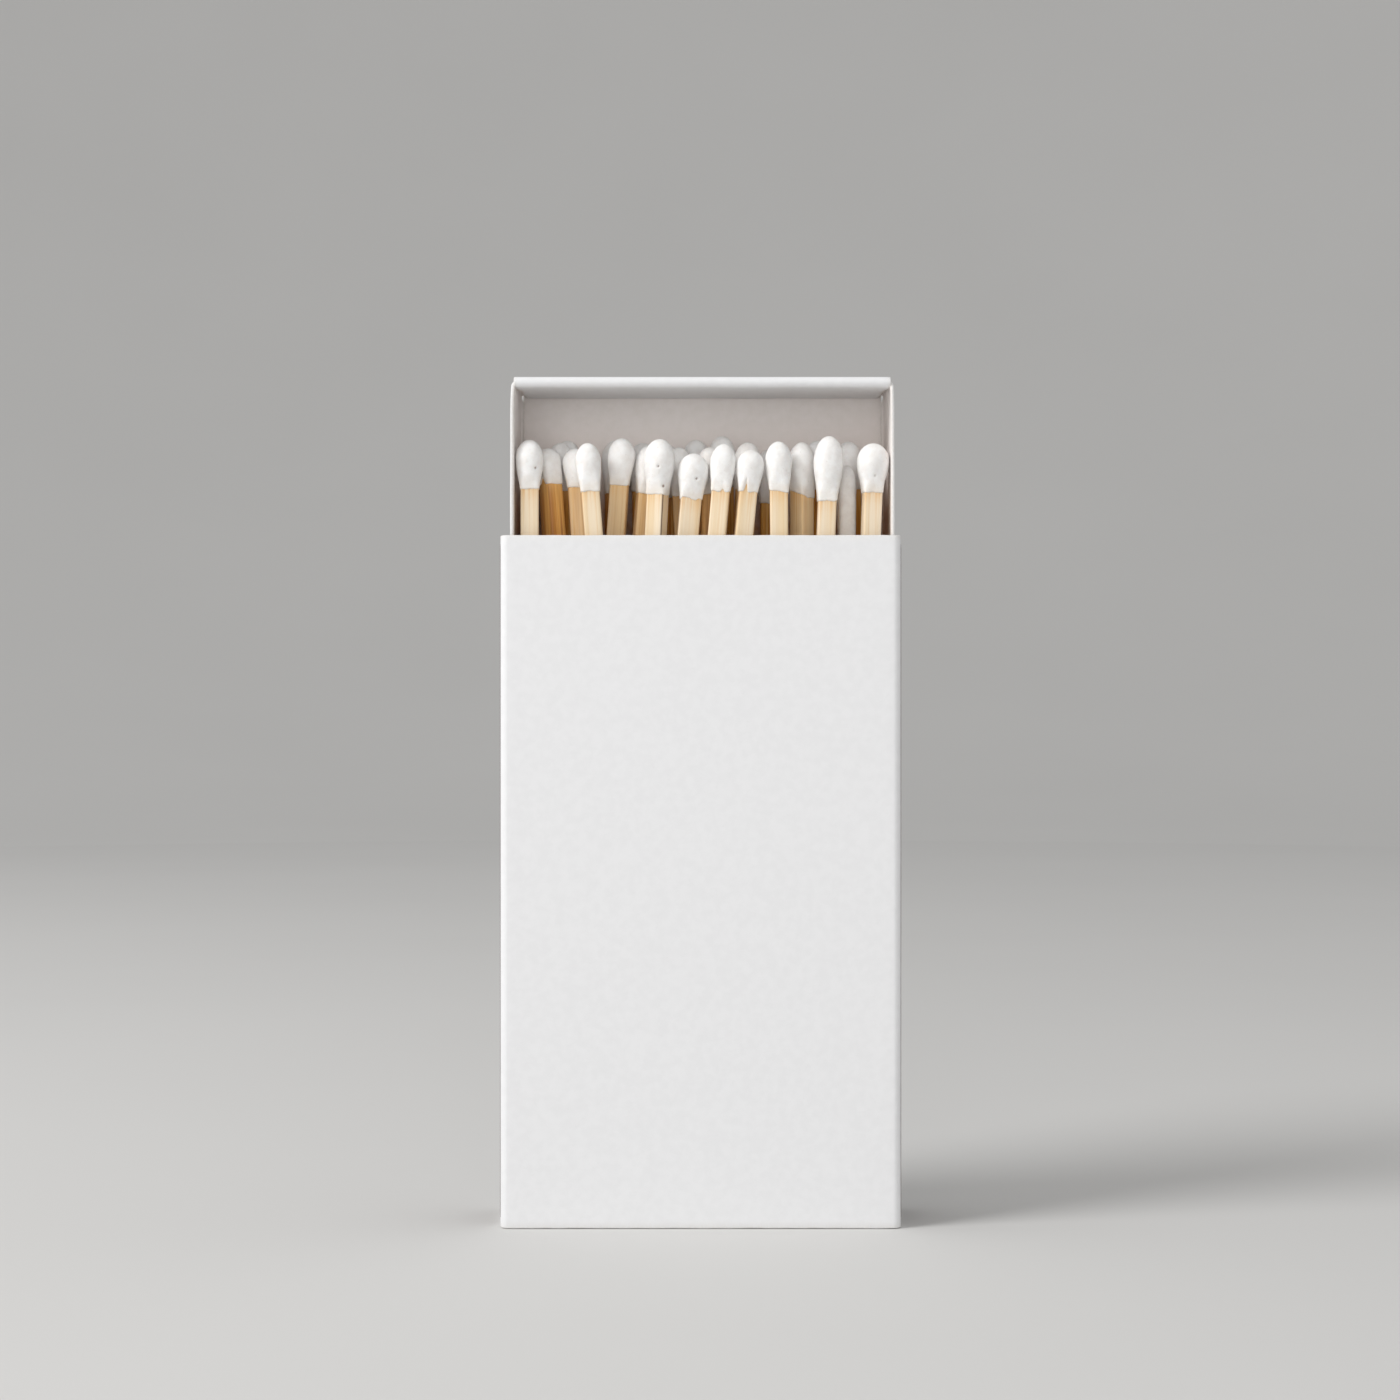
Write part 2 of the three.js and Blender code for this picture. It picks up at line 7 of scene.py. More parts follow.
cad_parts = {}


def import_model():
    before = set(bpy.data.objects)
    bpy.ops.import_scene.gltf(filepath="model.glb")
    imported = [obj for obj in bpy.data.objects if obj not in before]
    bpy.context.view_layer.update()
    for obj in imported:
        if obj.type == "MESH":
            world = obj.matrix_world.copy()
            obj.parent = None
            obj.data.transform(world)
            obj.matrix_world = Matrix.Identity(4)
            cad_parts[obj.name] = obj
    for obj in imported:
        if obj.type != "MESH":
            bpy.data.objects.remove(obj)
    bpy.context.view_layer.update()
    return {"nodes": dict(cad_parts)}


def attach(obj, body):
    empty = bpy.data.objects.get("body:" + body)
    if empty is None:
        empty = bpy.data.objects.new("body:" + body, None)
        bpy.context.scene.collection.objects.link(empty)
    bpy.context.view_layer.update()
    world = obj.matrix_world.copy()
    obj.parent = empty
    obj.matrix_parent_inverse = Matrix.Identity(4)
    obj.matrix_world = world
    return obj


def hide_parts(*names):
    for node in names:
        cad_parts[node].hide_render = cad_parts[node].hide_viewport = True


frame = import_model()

# Sizes in millimetres, as in the part, unless a name says otherwise
MM = 0.001
CARD = 0.45
SLEEVE_WIDTH = 50.0
SLEEVE_DEPTH = 15.0
SLEEVE_LENGTH = 86.5
SLEEVE_FOLD = 1.0
SEAM_SETBACK = 1.3
FLAP_SETBACK = 2.2
TRAY_X = 0.225
TRAY_Z = 20.3
TRAY_WIDTH = 48.1
TRAY_DEPTH = 13.6
TRAY_LENGTH = 86.0
TRAY_FOLD = 0.8
CORNER_FOLD = 0.7
TAB_LENGTH = 11.0
ROLLED_END_ROUNDING = 0.35
LIP_SLIT = 0.12
SPLINT_SIDE = 2.3
SPLINT_REACH = math.hypot(SPLINT_SIDE / 2, SPLINT_SIDE / 2 - 0.2)
BULB_SHARE = 0.38
DOME_REACH = 0.85
HEAD_BOND = 0.04
LEAST_COAT = 0.1
ROUNDEST = 2.2
SQUAREST = 8.0
VISIBLE_COAT = 0.05
MATCHES = 28

# How the card and the splints differ from their flat patterns, in millimetres
PANEL_BOW = 0.09
CUT_LINE_BACK = 0.05
CUT_LINE_RAG = 0.045
CUT_LINE_FRAY = 0.02
WALL_PULL = 0.24
WALL_HOLLOW = 0.03
LIP_TAPER = 0.75
SPLINT_CORNER = 0.24
STRIKER_STEP = 0.6
STRIKER_RAG = 0.1
STRIKER_GRIT = 0.008

# Camera: level, square on to the sleeve, as the photograph was taken
CAMERA_AT = (-0.08, -334.8, 65.9)
SENSOR = 36.0
LENS = 67.577

# Stage, in metres: a round floor that turns up into a wall
STAGE_RADIUS = 1.8
STAGE_TURN = 0.9
STAGE_HEIGHT = 2.2
STAGE_SIDES = 96
TURN_STEPS = 16

# Lamps: name, place and aim in metres, size across in metres, watts
LAMPS = (
    ("key", (-0.72, -0.36, 0.66), (0, 0, 0.06), 0.45, 6.0),
    ("fill", (-0.1, -0.85, 0.2), (0, 0, 0.08), 0.6, 1.75),
)
SKY_STRENGTH = 0.49


# Meshes

def smooth(x, low, high):
    t = np.clip((np.asarray(x, float) - low) / (high - low), 0, 1)
    return t * t * (3 - 2 * t)


def noise_at(points, size, seed):
    """Soft noise from about -1 to 1 at each point, its lumps size mm across."""
    shift = Vector((seed * 17.3, seed * 5.9 + 3.1, seed * 11.7))
    return np.array([noise.noise(Vector(p) / size + shift) for p in points])


def mesh_piece(name, points, faces, material, node, body, attributes=None, crease_angle=40):
    mesh = bpy.data.meshes.new(name)
    mesh.from_pydata([tuple(p) for p in np.asarray(points) * MM], [], faces)
    mesh.validate()
    for key, values in (attributes or {}).items():
        values = np.asarray(values, np.float32)
        kind = "FLOAT" if values.ndim == 1 else "FLOAT_VECTOR"
        field = "value" if values.ndim == 1 else "vector"
        attribute = mesh.attributes.new(key, kind, "POINT")
        attribute.data.foreach_set(field, values.ravel())
    mesh.shade_smooth()
    mesh.set_sharp_from_angle(angle=math.radians(crease_angle))
    mesh.materials.append(material)
    piece = bpy.data.objects.new(name, mesh)
    bpy.context.scene.collection.objects.link(piece)
    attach(piece, body)
    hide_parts(*node)
    return piece


def ring_faces(rows, count, closed_ends=True):
    """Quads between rows of points that each run round a closed ring, and a face over each end."""
    faces = []
    for r in range(rows - 1):
        for s in range(count):
            n = (s + 1) % count
            faces.append((r * count + s, r * count + n, (r + 1) * count + n, (r + 1) * count + s))
    if closed_ends:
        faces.append(tuple(reversed(range(count))))
        faces.append(tuple(range((rows - 1) * count, rows * count)))
    return faces


def trace(start, steps, spacing=0.9, arc_steps=9):
    """A path in a plane as points with their left-hand normals. Each step is ("line", length) or
    ("arc", radius, degrees), a positive turn going left."""
    (x, y), heading = start[0], math.radians(start[1])
    points, normals, marks = [], [], []

    def put(mark):
        points.append((x, y))
        normals.append((-math.sin(heading), math.cos(heading)))
        marks.append(mark)

    put(0)
    for number, step in enumerate(steps):
        if step[0] == "line":
            count = max(1, round(step[1] / spacing))
            for _ in range(count):
                x += math.cos(heading) * step[1] / count
                y += math.sin(heading) * step[1] / count
                put(number)
        else:
            radius, turn = step[1], math.radians(step[2])
            side = 1 if turn > 0 else -1
            for _ in range(arc_steps):
                cx = x - side * radius * math.sin(heading)
                cy = y + side * radius * math.cos(heading)
                heading += turn / arc_steps
                x = cx + side * radius * math.sin(heading)
                y = cy - side * radius * math.cos(heading)
                put(number)
    return np.array(points), np.array(normals), np.array(marks)


def strip(path, normals, low, high, across=60, edge=0.16, half=CARD / 2):
    """A strip of card that follows a path. low and high are its two cut edges at each station. It returns
    rows of (station, across, offset) with rounded cut edges, and how near each point is to a cut edge."""
    corner = [math.radians(a) for a in (90, 60, 30, 0, -30, -60, -90)]
    rows, near = [], []
    for k in range(len(path)):
        a, b = low[k], high[k]
        ends = min(k, len(path) - 1 - k)
        thin = half * (1 - 0.35 * (ends == 0))
        spread = np.linspace(a + edge, b - edge, across)
        ring = [(k, v, thin) for v in spread]
        ring += [(k, b - edge + edge * math.cos(c), thin * math.sin(c)) for c in corner[1:-1]]
        ring += [(k, v, -thin) for v in spread[::-1]]
        ring += [(k, a + edge - edge * math.cos(c), -thin * math.sin(c)) for c in corner[1:-1]]
        rows += ring
        for _, v, _ in ring:
            near.append(max(0.0, 1 - min(v - a, b - v) / 0.35))
    return np.array(rows), np.array(near), 2 * across + 2 * (len(corner) - 2)


# Materials

def material(name, roughness):
    made = bpy.data.materials.new(name)
    made.use_nodes = True
    tree = made.node_tree
    shader = tree.nodes["Principled BSDF"]
    shader.inputs["Roughness"].default_value = roughness
    return made, tree, shader


def srgb(r, g, b):
    def straight(v):
        v /= 255
        return v / 12.92 if v <= 0.04045 else ((v + 0.055) / 1.055) ** 2.4
    return (straight(r), straight(g), straight(b), 1)


class Nodes:
    """Short ways to add shader nodes and join them."""

    def __init__(self, tree):
        self.tree = tree

    def add(self, kind, **settings):
        node = self.tree.nodes.new(kind)
        for key, value in settings.items():
            setattr(node, key, value)
        return node

    def join(self, out, into):
        self.tree.links.new(out, into)

    def attribute(self, name):
        return self.add("ShaderNodeAttribute", attribute_name=name)

    def object_place(self):
        return self.add("ShaderNodeTexCoord").outputs["Object"]

    def noise(self, vector, scale, detail=3.0, rough=0.55, distortion=0.0):
        node = self.add("ShaderNodeTexNoise")
        node.inputs["Scale"].default_value = scale
        node.inputs["Detail"].default_value = detail
        node.inputs["Roughness"].default_value = rough
        node.inputs["Distortion"].default_value = distortion
        self.join(vector, node.inputs["Vector"])
        return node.outputs["Fac"]

    def stretch(self, vector, scale):
        node = self.add("ShaderNodeVectorMath", operation="MULTIPLY")
        node.inputs[1].default_value = scale
        self.join(vector, node.inputs[0])
        return node.outputs[0]

    def spread(self, value, low, high, to_low=0.0, to_high=1.0):
        node = self.add("ShaderNodeMapRange", interpolation_type="SMOOTHSTEP")
        for socket, number in zip(node.inputs[1:5], (low, high, to_low, to_high)):
            socket.default_value = number
        self.join(value, node.inputs[0])
        return node.outputs[0]

    def mix(self, share, first, second):
        node = self.add("ShaderNodeMix", data_type="RGBA")
        self.join(share, node.inputs[0])
        for socket, value in ((node.inputs[6], first), (node.inputs[7], second)):
            if isinstance(value, tuple):
                socket.default_value = value
            else:
                self.join(value, socket)
        return node.outputs[2]

    def maths(self, operation, first, second):
        node = self.add("ShaderNodeMath", operation=operation)
        for socket, value in ((node.inputs[0], first), (node.inputs[1], second)):
            if isinstance(value, (int, float)):
                socket.default_value = value
            else:
                self.join(value, socket)
        return node.outputs[0]

    def bump(self, height, strength, distance, below=None):
        node = self.add("ShaderNodeBump")
        node.inputs["Strength"].default_value = strength
        node.inputs["Distance"].default_value = distance
        self.join(height, node.inputs["Height"])
        if below is not None:
            self.join(below, node.inputs["Normal"])
        return node.outputs["Normal"]


def white_card():
    made, tree, shader = material("white_card", 0.62)
    n = Nodes(tree)
    place = n.object_place()
    clouds = n.noise(place, 900, 3, 0.55)
    fibres = n.noise(n.stretch(place, (1.0, 1.0, 0.35)), 5200, 4, 0.65, 0.4)
    grit = n.noise(place, 2300, 3, 0.6)
    base = n.mix(n.spread(clouds, 0.3, 0.7), srgb(233, 233, 234), srgb(236, 236, 237))
    base = n.mix(n.spread(grit, 0.62, 0.78, 0.0, 0.3), base, srgb(226, 225, 225))
    back = n.attribute("reverse").outputs["Fac"]
    # The card's reverse is warmer and lighter than its face; part of that lightness is painted light that
    # lifts the shade inside the tray
    base = n.mix(back, base, n.mix(n.spread(clouds, 0.3, 0.7), srgb(245, 239, 235), srgb(249, 243, 240)))
    # Painted shade, brown as the splints' bounced light, on the tray's inner faces between the splints
    gap_shade = n.maths("MULTIPLY", n.attribute("gap_shade").outputs["Fac"], n.spread(clouds, 0.25, 0.75, 0.6, 0.9))
    base = n.mix(gap_shade, base, srgb(186, 126, 66))
    edge = n.attribute("cut").outputs["Fac"]
    core = n.maths("MULTIPLY", edge, n.spread(fibres, 0.35, 0.65, 0.25, 0.8))
    base = n.mix(core, base, srgb(226, 223, 217))
    n.join(base, shader.inputs["Base Color"])
    rough = n.spread(grit, 0.3, 0.7, 0.56, 0.72)
    n.join(rough, shader.inputs["Roughness"])
    tooth = n.noise(place, 1700, 3, 0.5)
    coarse = n.bump(tooth, 0.3, 0.00004)
    fine = n.bump(fibres, 0.3, 0.00002, coarse)
    worn = n.bump(n.maths("MULTIPLY", edge, fibres), 0.7, 0.00006, fine)
    n.join(worn, shader.inputs["Normal"])
    shader.inputs["Specular IOR Level"].default_value = 0.35
    return made


def splint_wood():
    made, tree, shader = material("splint_wood", 0.6)
    n = Nodes(tree)
    grain = n.attribute("grain").outputs["Vector"]
    tone = n.attribute("tone").outputs["Fac"]
    painted_shade_amber = n.attribute("painted_shade_amber").outputs["Fac"]
    mark = n.attribute("mark").outputs["Fac"]
    rings = n.noise(n.stretch(grain, (0.55, 0.55, 0.012)), 1.0, 2, 0.5, 0.3)
    streaks = n.noise(n.stretch(grain, (3.2, 3.2, 0.05)), 1.0, 5, 0.6, 0.2)
    pores = n.noise(n.stretch(grain, (11.0, 11.0, 0.35)), 1.0, 3, 0.7)
    pale = n.mix(n.spread(rings, 0.35, 0.65), srgb(248, 232, 207), srgb(241, 219, 184))
    warm = n.mix(n.spread(streaks, 0.4, 0.72), srgb(236, 204, 146), srgb(219, 176, 104))
    base = n.mix(n.spread(streaks, 0.48, 0.8, 0.0, 0.5), pale, warm)
    # The warm wood is partly each match's own tone and partly painted shade, given most to matches further
    # back
    base = n.mix(tone, base, warm)
    bands = n.noise(n.stretch(grain, (1.5, 1.5, 0.03)), 1.0, 3, 0.6, 0.2)
    # Painted shade: darker, more orange wood, as splints further back in the tray look in shade and in their
    # own bounced light
    deep = n.mix(n.spread(streaks, 0.38, 0.66), srgb(232, 174, 82), srgb(198, 124, 36))
    deep = n.mix(n.spread(bands, 0.5, 0.66), deep, srgb(166, 92, 26))
    deep = n.mix(n.spread(bands, 0.36, 0.46, 0.8, 0.0), deep, srgb(238, 196, 122))
    base = n.mix(painted_shade_amber, base, deep)
    neck = n.maths("MULTIPLY", n.attribute("neck").outputs["Fac"], n.spread(streaks, 0.35, 0.6, 0.15, 0.7))
    base = n.mix(neck, base, srgb(232, 182, 118))
    base = n.mix(n.spread(pores, 0.62, 0.8, 0.0, 0.35), base, srgb(192, 146, 92))
    base = n.mix(mark, base, srgb(74, 40, 18))
    n.join(base, shader.inputs["Base Color"])
    n.join(n.spread(streaks, 0.3, 0.7, 0.5, 0.68), shader.inputs["Roughness"])
    ribs = n.bump(streaks, 0.35, 0.00006)
    fine = n.bump(pores, 0.4, 0.00003, ribs)
    n.join(fine, shader.inputs["Normal"])
    shader.inputs["Specular IOR Level"].default_value = 0.3
    return made


def head_paste():
    made, tree, shader = material("head_paste", 0.55)
    n = Nodes(tree)
    grain = n.attribute("grain").outputs["Vector"]
    tone = n.attribute("tone").outputs["Fac"]
    mark = n.attribute("mark").outputs["Fac"]
    lower = n.attribute("lower").outputs["Fac"]
    lumps = n.noise(grain, 0.9, 3, 0.55)
    grit = n.noise(grain, 6.5, 4, 0.65)
    specks = n.noise(grain, 3.3, 2, 0.5)
    white = n.mix(n.spread(lumps, 0.35, 0.68), srgb(250, 249, 247), srgb(242, 239, 236))
    # The duller, greyer paste is partly each head's own tone and partly painted shade on heads deeper in the
    # tray
    dull_and_shaded_paste = n.mix(n.spread(lumps, 0.3, 0.7), srgb(219, 208, 199), srgb(203, 190, 180))
    base = n.mix(tone, white, dull_and_shaded_paste)
    base = n.mix(n.spread(specks, 0.66, 0.78, 0.0, 0.35), base, srgb(205, 196, 186))
    # The paste turns a little warmer and darker towards the head's lower edge
    warmer_near_base = n.maths("MULTIPLY", lower, n.spread(lumps, 0.25, 0.7, 0.35, 0.75))
    base = n.mix(warmer_near_base, base, srgb(238, 229, 217))
    base = n.mix(mark, base, srgb(124, 92, 72))
    n.join(base, shader.inputs["Base Color"])
    n.join(n.spread(grit, 0.3, 0.7, 0.48, 0.66), shader.inputs["Roughness"])
    broad = n.bump(lumps, 0.35, 0.00025)
    fine = n.bump(grit, 0.35, 0.00005, broad)
    n.join(fine, shader.inputs["Normal"])
    shader.inputs["Specular IOR Level"].default_value = 0.4
    shader.inputs["Subsurface Weight"].default_value = 0.12
    shader.inputs["Subsurface Radius"].default_value = (0.8, 0.7, 0.6)
    shader.inputs["Subsurface Scale"].default_value = 0.0006
    return made


def striking_coat():
    made, tree, shader = material("striking_coat", 0.85)
    n = Nodes(tree)
    place = n.object_place()
    grit = n.add("ShaderNodeTexVoronoi")
    grit.inputs["Scale"].default_value = 4200
    n.join(place, grit.inputs["Vector"])
    grains = grit.outputs["Distance"]
    patches = n.noise(place, 260, 4, 0.6)
    sparkle = n.noise(place, 7000, 2, 0.5)
    base = n.mix(n.spread(patches, 0.3, 0.7), srgb(78, 46, 38), srgb(98, 60, 48))
    base = n.mix(n.spread(grains, 0.1, 0.6, 0.0, 0.6), base, srgb(52, 31, 27))
    base = n.mix(n.spread(sparkle, 0.68, 0.76, 0.0, 0.5), base, srgb(150, 112, 96))
    n.join(base, shader.inputs["Base Color"])
    n.join(n.spread(sparkle, 0.3, 0.7, 0.7, 0.95), shader.inputs["Roughness"])
    rough = n.bump(grains, 0.8, 0.00012)
    n.join(n.bump(patches, 0.4, 0.00008, rough), shader.inputs["Normal"])
    return made


def floor_paint():
    made, tree, shader = material("floor_paint", 0.9)
    n = Nodes(tree)
    place = n.object_place()
    clouds = n.noise(place, 6, 3, 0.5)
    base = n.mix(clouds, srgb(214, 213, 211), srgb(219, 218, 216))
    n.join(base, shader.inputs["Base Color"])
    shader.inputs["Specular IOR Level"].default_value = 0.2
    return made


CARD_FINISH = white_card()
WOOD = splint_wood()
PASTE = head_paste()
STRIKER = striking_coat()


# Sleeve

def build_sleeve():
    half_w, half_d = SLEEVE_WIDTH / 2, SLEEVE_DEPTH / 2
    middle = SLEEVE_FOLD - CARD / 2
    start = ((-half_w + 1.5 * CARD, -half_d + FLAP_SETBACK), 90)
    side = 2 * (half_d - SLEEVE_FOLD)
    flap = half_d - SLEEVE_FOLD + half_d - FLAP_SETBACK
    back = (half_w - SLEEVE_FOLD) - (-half_w + CARD + SLEEVE_FOLD)
    front = 2 * (half_w - SLEEVE_FOLD)
    last = half_d - SEAM_SETBACK + half_d - SLEEVE_FOLD
    path, normals, _ = trace(start, [
        ("line", flap), ("arc", middle, -90), ("line", back), ("arc", middle, -90), ("line", side),
        ("arc", middle, -90), ("line", front), ("arc", middle, -90), ("line", last)], 0.7, 12)
    count = len(path)
    low, high = np.zeros(count), np.full(count, SLEEVE_LENGTH)
    rows, near, ring = strip(path, normals, low, high, across=110)
    k = rows[:, 0].astype(int)
    flat = path[k] + normals[k] * rows[:, 2:3]
    points = np.column_stack([flat, rows[:, 1]])

    # The wide faces sink in a little between the folds, and the cut edges are not quite straight
    up = points[:, 2] / SLEEVE_LENGTH
    across = np.clip(1 - (points[:, 0] / half_w) ** 2, 0, 1)
    facing = np.sign(points[:, 1]) * (np.abs(points[:, 1]) > half_d - 2 * CARD)
    bow = PANEL_BOW * across * (0.55 + 0.45 * np.sin(math.pi * up))
    points[:, 1] -= facing * bow
    ends = smooth(np.abs(up - 0.5), 0.47, 0.5)
    ragged = noise_at(np.column_stack([points[:, 0], points[:, 1], np.zeros(len(points))]), 2.1, 3)
    fine = noise_at(points, 0.35, 4)
    trim = np.sign(0.5 - up) * ends
    points[:, 2] += trim * (CUT_LINE_BACK + CUT_LINE_RAG * ragged + CUT_LINE_FRAY * fine)
    mesh_piece("sleeve_card", points, ring_faces(count, ring), CARD_FINISH, ["sleeve"], "sleeve",
               {"cut": near, "reverse": (rows[:, 2] < -0.05).astype(float)})


# Tray

def place_in_tray(points):
    return points + np.array([TRAY_X, 0, TRAY_Z])


def painted_gap_shade(points, offset):
    """Where painted shade, brown as the splints' bounced light, lies inside the tray: between the splints,
    more towards the back, along their length, not by the heads.
    """
    z = points[:, 2]
    faded = 0.8 * smooth(z, 68.0, 75.0) + 0.2 * smooth(z, 75.0, 84.0)
    up = smooth(z, 2.0, 12.0) * (1 - faded)
    deep = smooth(points[:, 1], -5.5, 0.5)
    return up * deep * (offset > 0.05)


def pull_in(points):
    """Near its corners the tray's long walls are drawn in by the folded ends."""
    half = TRAY_WIDTH / 2
    end = np.minimum(points[:, 2], TRAY_LENGTH - points[:, 2])
    outer = smooth(np.abs(points[:, 0]), half - 1.6, half - 0.9)
    drawn = WALL_PULL * np.exp(-np.clip(end, 0, None) / 2.6) * outer
    points[:, 0] -= np.sign(points[:, 0]) * drawn
    return points


def build_tray_floor():
    """One strip: the free lip, the inner layer, the roll, the outer layer, the floor, and the same again."""
    back, front = TRAY_DEPTH / 2, -TRAY_DEPTH / 2
    wall = 3 * CARD
    roll = wall / 2 - CARD / 2
    fold = TRAY_FOLD - CARD / 2
    lip = back - CARD - LIP_SLIT
    inner = lip - (front + wall / 2)
    outer = back - TRAY_FOLD - (front + wall / 2)
    floor = TRAY_LENGTH - 2 * TRAY_FOLD
    start = ((lip, wall - CARD / 2), 180)
    path, normals, marks = trace(start, [
        ("line", inner), ("arc", roll, 180), ("line", outer), ("arc", fold, 90), ("line", floor),
        ("arc", fold, 90), ("line", outer), ("arc", roll, 180), ("line", inner)], 0.8, 12)
    inner_w = TRAY_WIDTH / 2 - CARD
    floor_w = TRAY_WIDTH / 2 - TRAY_FOLD
    widths = np.full(len(path), inner_w)
    widths[marks == 4] = floor_w
    for number in (0, 8):
        depth = path[marks == number][:, 0] - front
        widths[marks == number] = inner_w - LIP_TAPER * smooth(depth, 1.2, 4.5)
    rows, near, ring = strip(path, normals, -widths, widths, across=96, edge=0.12)
    k = rows[:, 0].astype(int)
    flat = path[k] + normals[k] * rows[:, 2:3]
    points = np.column_stack([rows[:, 1], flat])

    # The roll's two ends are rounded over
    rolled = np.isin(marks[k], (1, 7))
    reach = inner_w - np.abs(points[:, 0])
    drop = ROLLED_END_ROUNDING - np.sqrt(np.clip(
        ROLLED_END_ROUNDING ** 2 - np.clip(ROLLED_END_ROUNDING - reach, 0, None) ** 2, 0, None))
    middle_z = np.where(points[:, 2] < TRAY_LENGTH / 2, wall / 2, TRAY_LENGTH - wall / 2)
    middle_y = front + wall / 2
    squeeze = np.where(rolled, 1 - drop / (wall / 2) * 0.8, 1)
    points[:, 1] = np.where(rolled, middle_y + (points[:, 1] - middle_y) * squeeze, points[:, 1])
    points[:, 2] = np.where(rolled, middle_z + (points[:, 2] - middle_z) * squeeze, points[:, 2])
    wave = noise_at(np.column_stack([points[:, 0], marks[k], points[:, 2] * 0.05]), 6.0, 8)
    inside = smooth(np.minimum(points[:, 2], TRAY_LENGTH - points[:, 2]), 0.0, 0.6)
    points[:, 2] += 0.035 * wave * np.where(points[:, 2] > TRAY_LENGTH / 2, -1, 1) * inside
    mesh_piece("tray_floor_and_ends", place_in_tray(points), ring_faces(len(path), ring), CARD_FINISH,
               ["tray"], "tray",
               {"cut": near, "reverse": (rows[:, 2] > 0.05).astype(float),
                "gap_shade": painted_gap_shade(points, rows[:, 2])})


def build_tray_side(side):
    """One strip: a corner tab, the long wall and the other corner tab, its back turned into the floor."""
    half_w, back, front = TRAY_WIDTH / 2, TRAY_DEPTH / 2, -TRAY_DEPTH / 2
    middle = CORNER_FOLD - CARD / 2
    tab = TAB_LENGTH - CORNER_FOLD
    wall = TRAY_LENGTH - 2 * (CARD + CORNER_FOLD)
    start = ((half_w - TAB_LENGTH, 1.5 * CARD), 0)
    path, normals, _ = trace(start, [
        ("line", tab), ("arc", middle, 90), ("line", wall), ("arc", middle, 90), ("line", tab)], 0.8, 12)
    depth_in = TRAY_FOLD - CARD / 2
    arc = depth_in * math.pi / 2
    flat_end = back - TRAY_FOLD
    count = len(path)
    end = np.minimum(path[:, 1], TRAY_LENGTH - path[:, 1])
    upright = smooth(end, 1.1, 1.5)
    low = front + (CARD + 0.03) * (1 - smooth(end, 0.75, 1.45))
    high = flat_end + arc * upright + 0.3 * (1 - upright)
    rows, near, ring = strip(path, normals, low, high, across=40, edge=0.15)
    k = rows[:, 0].astype(int)
    lateral, offset = rows[:, 1], rows[:, 2]

    # Beyond the flat of the wall the strip turns through a quarter circle into the floor
    turned = np.clip(lateral - flat_end, 0, None) * upright[k] / depth_in
    radius = depth_in - offset
    inward = np.where(turned > 0, offset + radius * (1 - np.cos(turned)), offset)
    y = np.where(turned > 0, flat_end + radius * np.sin(turned), lateral)
    flat = path[k] + normals[k] * inward[:, None]
    points = pull_in(np.column_stack([flat[:, 0], y, flat[:, 1]]))
    none = np.zeros(len(points))
    ripple = noise_at(np.column_stack([none, points[:, 1] * 0.3, points[:, 2]]), 5.0, 20 + side)
    hollow = smooth(end[k], 1.5, 9.0)
    points[:, 0] -= hollow * WALL_HOLLOW * (1 + ripple)
    edge_wave = noise_at(np.column_stack([none, none, points[:, 2]]), 1.7, 31 + side)
    points[:, 1] += smooth(-points[:, 1], -front - 0.5, -front) * (0.02 + 0.02 * edge_wave)
    points[:, 0] *= side
    faces = ring_faces(count, ring)
    if side > 0:
        faces = [tuple(reversed(f)) for f in faces]
    name = "tray_side_left" if side < 0 else "tray_side_right"
    mesh_piece(name, place_in_tray(points), faces, CARD_FINISH, ["tray"], "tray",
               {"cut": near, "reverse": (rows[:, 2] > 0.05).astype(float),
                "gap_shade": painted_gap_shade(points, rows[:, 2])})


# Matches

def corners_of(name):
    mesh = frame["nodes"][name].data
    points = np.zeros(len(mesh.vertices) * 3, np.float32)
    mesh.vertices.foreach_get("co", points)
    points = np.unique(np.round(points.reshape(-1, 3).astype(float) / MM, 4), axis=0)
    return points[np.argsort(points[:, 2])]


def stance(number):
    """Where a match stands in the frame: foot, its three own axes, and the sizes of its head."""
    splint = corners_of(f"match_{number:02d}_splint")
    half = len(splint) // 2
    foot, end = splint[:half].mean(0), splint[half:].mean(0)
    along = (end - foot) / np.linalg.norm(end - foot)
    across = np.cross((0, 1, 0), along)
    across /= np.linalg.norm(across)
    deep = np.cross(along, across)
    spokes = splint[:half] - foot
    turned = ((spokes @ across) + 1j * (spokes @ deep)) ** 4
    twist = np.angle(-turned.sum()) / 4
    u = across * math.cos(twist) + deep * math.sin(twist)
    v = -across * math.sin(twist) + deep * math.cos(twist)
    head = corners_of(f"match_{number:02d}_head") - foot
    return {
        "foot": foot, "u": u, "v": v, "along": along,
        "half": np.abs(spokes @ u).max(), "splint": np.linalg.norm(end - foot),
        "top": (head @ along).max(), "long": np.ptp(head @ along), "bulb": np.abs(head @ u).max(),
    }


def world(stand, local):
    return (stand["foot"] + np.outer(local[:, 0], stand["u"]) + np.outer(local[:, 1], stand["v"])
            + np.outer(local[:, 2], stand["along"]))


